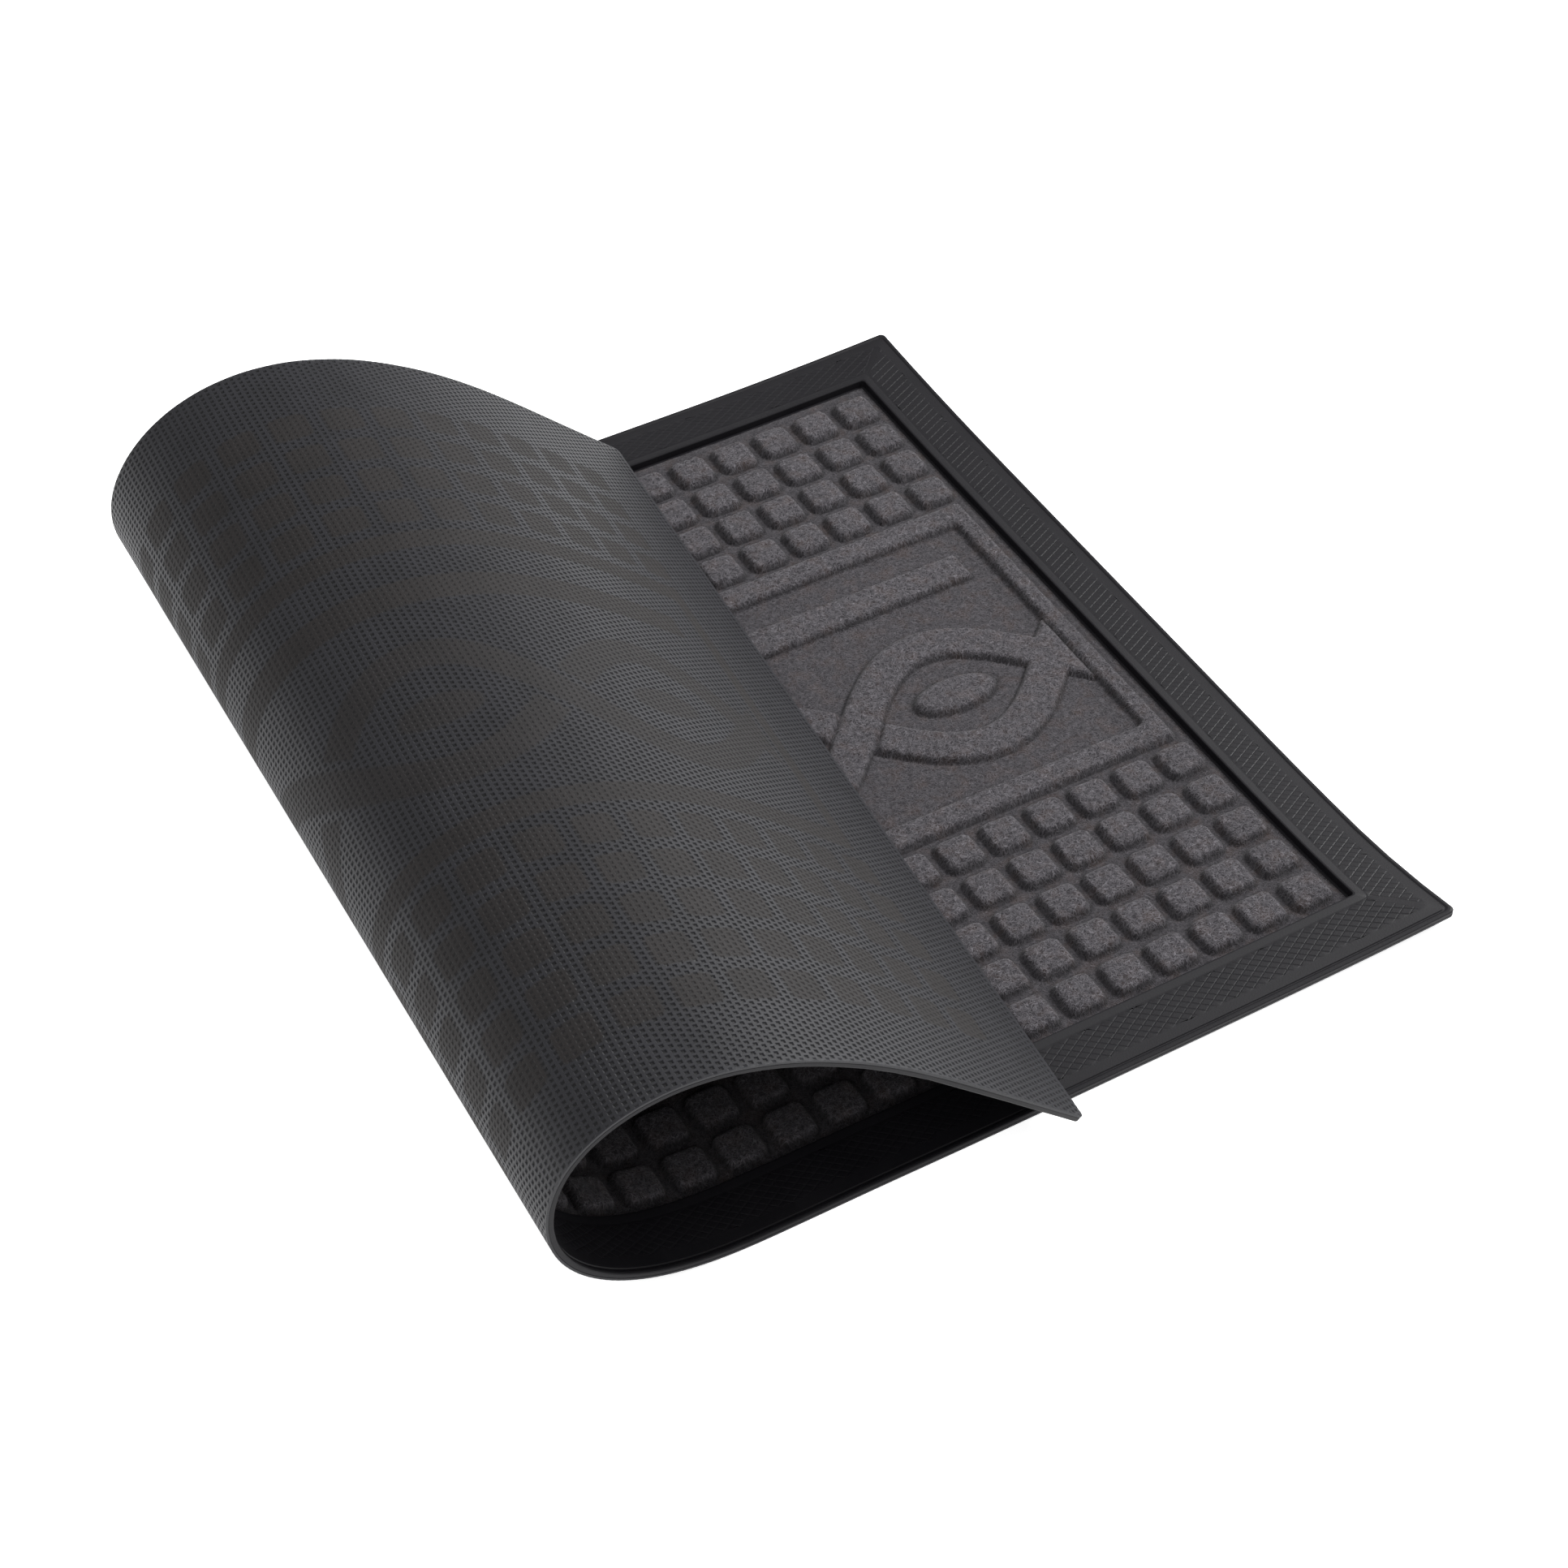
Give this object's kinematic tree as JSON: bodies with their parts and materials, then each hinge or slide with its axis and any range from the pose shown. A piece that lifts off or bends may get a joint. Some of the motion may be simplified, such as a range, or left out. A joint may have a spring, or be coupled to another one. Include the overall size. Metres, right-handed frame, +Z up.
{
  "type": "door mat",
  "caption": "Rubber-backed felt door mat with a patterned border, folded over on itself; it unrolls to lie flat.",
  "frame": {"origin": "centre of the folded mat's bounding box in X and Y, on the floor that it lies on", "axes": "+Z up from the floor; +Y along the fold, across the mat's width, towards its far long edge; +X towards the short edge of the part that lies flat, with the roll at -X"},
  "size_m": [0.4124, 0.467, 0.1171],
  "materials": {
    "moulded_rubber": "moulded, semi-gloss charcoal",
    "needle_felt": "needle-punched polyester, matt charcoal"
  },
  "bodies": {
    "root": {"rubber_tray_base": "moulded_rubber", "felt_insert_base": "needle_felt"},
    "bend_01": {"rubber_tray_bend_01": "moulded_rubber", "felt_insert_bend_01": "needle_felt"},
    "bend_02": {"rubber_tray_bend_02": "moulded_rubber", "felt_insert_bend_02": "needle_felt"},
    "bend_03": {"rubber_tray_bend_03": "moulded_rubber", "felt_insert_bend_03": "needle_felt"},
    "bend_04": {"rubber_tray_bend_04": "moulded_rubber", "felt_insert_bend_04": "needle_felt"},
    "bend_05": {"rubber_tray_bend_05": "moulded_rubber", "felt_insert_bend_05": "needle_felt"},
    "bend_06": {"rubber_tray_bend_06": "moulded_rubber", "felt_insert_bend_06": "needle_felt"},
    "bend_07": {"rubber_tray_bend_07": "moulded_rubber", "felt_insert_bend_07": "needle_felt"},
    "bend_08": {"rubber_tray_bend_08": "moulded_rubber", "felt_insert_bend_08": "needle_felt"},
    "bend_09": {"rubber_tray_bend_09": "moulded_rubber", "felt_insert_bend_09": "needle_felt"},
    "bend_10": {"rubber_tray_bend_10": "moulded_rubber", "felt_insert_bend_10": "needle_felt"},
    "bend_11": {"rubber_tray_bend_11": "moulded_rubber", "felt_insert_bend_11": "needle_felt"},
    "bend_12": {"rubber_tray_bend_12": "moulded_rubber", "felt_insert_bend_12": "needle_felt"},
    "bend_13": {"rubber_tray_bend_13": "moulded_rubber", "felt_insert_bend_13": "needle_felt"},
    "bend_14": {"rubber_tray_bend_14": "moulded_rubber", "felt_insert_bend_14": "needle_felt"},
    "bend_15": {"rubber_tray_bend_15": "moulded_rubber", "felt_insert_bend_15": "needle_felt"},
    "bend_16": {"rubber_tray_bend_16": "moulded_rubber", "felt_insert_bend_16": "needle_felt"},
    "bend_17": {"rubber_tray_bend_17": "moulded_rubber", "felt_insert_bend_17": "needle_felt"},
    "bend_18": {"rubber_tray_bend_18": "moulded_rubber", "felt_insert_bend_18": "needle_felt"}
  },
  "joints": [
    {"name": "unroll_01", "type": "hinge", "parent": "root", "child": "bend_01", "pos_m": [-0.12834, 0.00846, 0.0063], "axis": [-0.0144, -0.9999, 0], "range_deg": [0, 12.35]},
    {"name": "unroll_02", "type": "hinge", "parent": "bend_01", "child": "bend_02", "pos_m": [-0.1516, 0.00845, 0.01139], "axis": [-0.0185, -0.9998, 0.0009], "range_deg": [0, 12.35]},
    {"name": "unroll_03", "type": "hinge", "parent": "bend_02", "child": "bend_03", "pos_m": [-0.1665, 0.00843, 0.01824], "axis": [-0.0224, -0.9997, 0.0027], "range_deg": [0, 12.35]},
    {"name": "unroll_04", "type": "hinge", "parent": "bend_03", "child": "bend_04", "pos_m": [-0.17714, 0.00839, 0.02627], "axis": [-0.0258, -0.9997, 0.0053], "range_deg": [0, 12.35]},
    {"name": "unroll_05", "type": "hinge", "parent": "bend_04", "child": "bend_05", "pos_m": [-0.18464, 0.00831, 0.03501], "axis": [-0.0286, -0.9996, 0.0085], "range_deg": [0, 12.35]},
    {"name": "unroll_06", "type": "hinge", "parent": "bend_05", "child": "bend_06", "pos_m": [-0.18952, 0.0082, 0.04408], "axis": [-0.0306, -0.9995, 0.0123], "range_deg": [0, 12.35]},
    {"name": "unroll_07", "type": "hinge", "parent": "bend_06", "child": "bend_07", "pos_m": [-0.19212, 0.00806, 0.05316], "axis": [-0.0318, -0.9994, 0.0164], "range_deg": [0, 12.35]},
    {"name": "unroll_08", "type": "hinge", "parent": "bend_07", "child": "bend_08", "pos_m": [-0.1927, 0.00786, 0.06243], "axis": [-0.032, -0.9993, 0.0206], "range_deg": [0, 12.35]},
    {"name": "unroll_09", "type": "hinge", "parent": "bend_08", "child": "bend_09", "pos_m": [-0.1913, 0.00759, 0.0716], "axis": [-0.0314, -0.9992, 0.0248], "range_deg": [0, 12.35]},
    {"name": "unroll_10", "type": "hinge", "parent": "bend_09", "child": "bend_10", "pos_m": [-0.18785, 0.00724, 0.08058], "axis": [-0.032, -0.9992, 0.0233], "range_deg": [0, 12.35]},
    {"name": "unroll_11", "type": "hinge", "parent": "bend_10", "child": "bend_11", "pos_m": [-0.18219, 0.00678, 0.08916], "axis": [-0.0361, -0.9992, 0.017], "range_deg": [0, 12.35]},
    {"name": "unroll_12", "type": "hinge", "parent": "bend_11", "child": "bend_12", "pos_m": [-0.17425, 0.00618, 0.09691], "axis": [-0.0416, -0.9991, 0.0117], "range_deg": [0, 12.35]},
    {"name": "unroll_13", "type": "hinge", "parent": "bend_12", "child": "bend_13", "pos_m": [-0.16394, 0.00544, 0.10333], "axis": [-0.048, -0.9988, 0.0077], "range_deg": [0, 12.35]},
    {"name": "unroll_14", "type": "hinge", "parent": "bend_13", "child": "bend_14", "pos_m": [-0.15116, 0.00454, 0.10787], "axis": [-0.0551, -0.9985, 0.0052], "range_deg": [0, 12.35]},
    {"name": "unroll_15", "type": "hinge", "parent": "bend_14", "child": "bend_15", "pos_m": [-0.13562, 0.00343, 0.10984], "axis": [-0.0626, -0.998, 0.0043], "range_deg": [0, 12.35]},
    {"name": "unroll_16", "type": "hinge", "parent": "bend_15", "child": "bend_16", "pos_m": [-0.11651, 0.00205, 0.1081], "axis": [-0.0701, -0.9975, 0.0049], "range_deg": [0, 12.35]},
    {"name": "unroll_17", "type": "hinge", "parent": "bend_16", "child": "bend_17", "pos_m": [-0.09028, 0.00012, 0.0998], "axis": [-0.0773, -0.997, 0.0072], "range_deg": [0, 12.35]},
    {"name": "unroll_18", "type": "hinge", "parent": "bend_17", "child": "bend_18", "pos_m": [-0.04978, -0.0029, 0.07649], "axis": [-0.0838, -0.9964, 0.011], "range_deg": [0, 12.35]}
  ],
  "couplings": [
    {"joint": "unroll_02", "follows": "unroll_01", "ratio": 1},
    {"joint": "unroll_03", "follows": "unroll_01", "ratio": 1},
    {"joint": "unroll_04", "follows": "unroll_01", "ratio": 1},
    {"joint": "unroll_05", "follows": "unroll_01", "ratio": 1},
    {"joint": "unroll_06", "follows": "unroll_01", "ratio": 1},
    {"joint": "unroll_07", "follows": "unroll_01", "ratio": 1},
    {"joint": "unroll_08", "follows": "unroll_01", "ratio": 1},
    {"joint": "unroll_09", "follows": "unroll_01", "ratio": 1},
    {"joint": "unroll_10", "follows": "unroll_01", "ratio": 1},
    {"joint": "unroll_11", "follows": "unroll_01", "ratio": 1},
    {"joint": "unroll_12", "follows": "unroll_01", "ratio": 1},
    {"joint": "unroll_13", "follows": "unroll_01", "ratio": 1},
    {"joint": "unroll_14", "follows": "unroll_01", "ratio": 1},
    {"joint": "unroll_15", "follows": "unroll_01", "ratio": 1},
    {"joint": "unroll_16", "follows": "unroll_01", "ratio": 1},
    {"joint": "unroll_17", "follows": "unroll_01", "ratio": 1},
    {"joint": "unroll_18", "follows": "unroll_01", "ratio": 1}
  ]
}
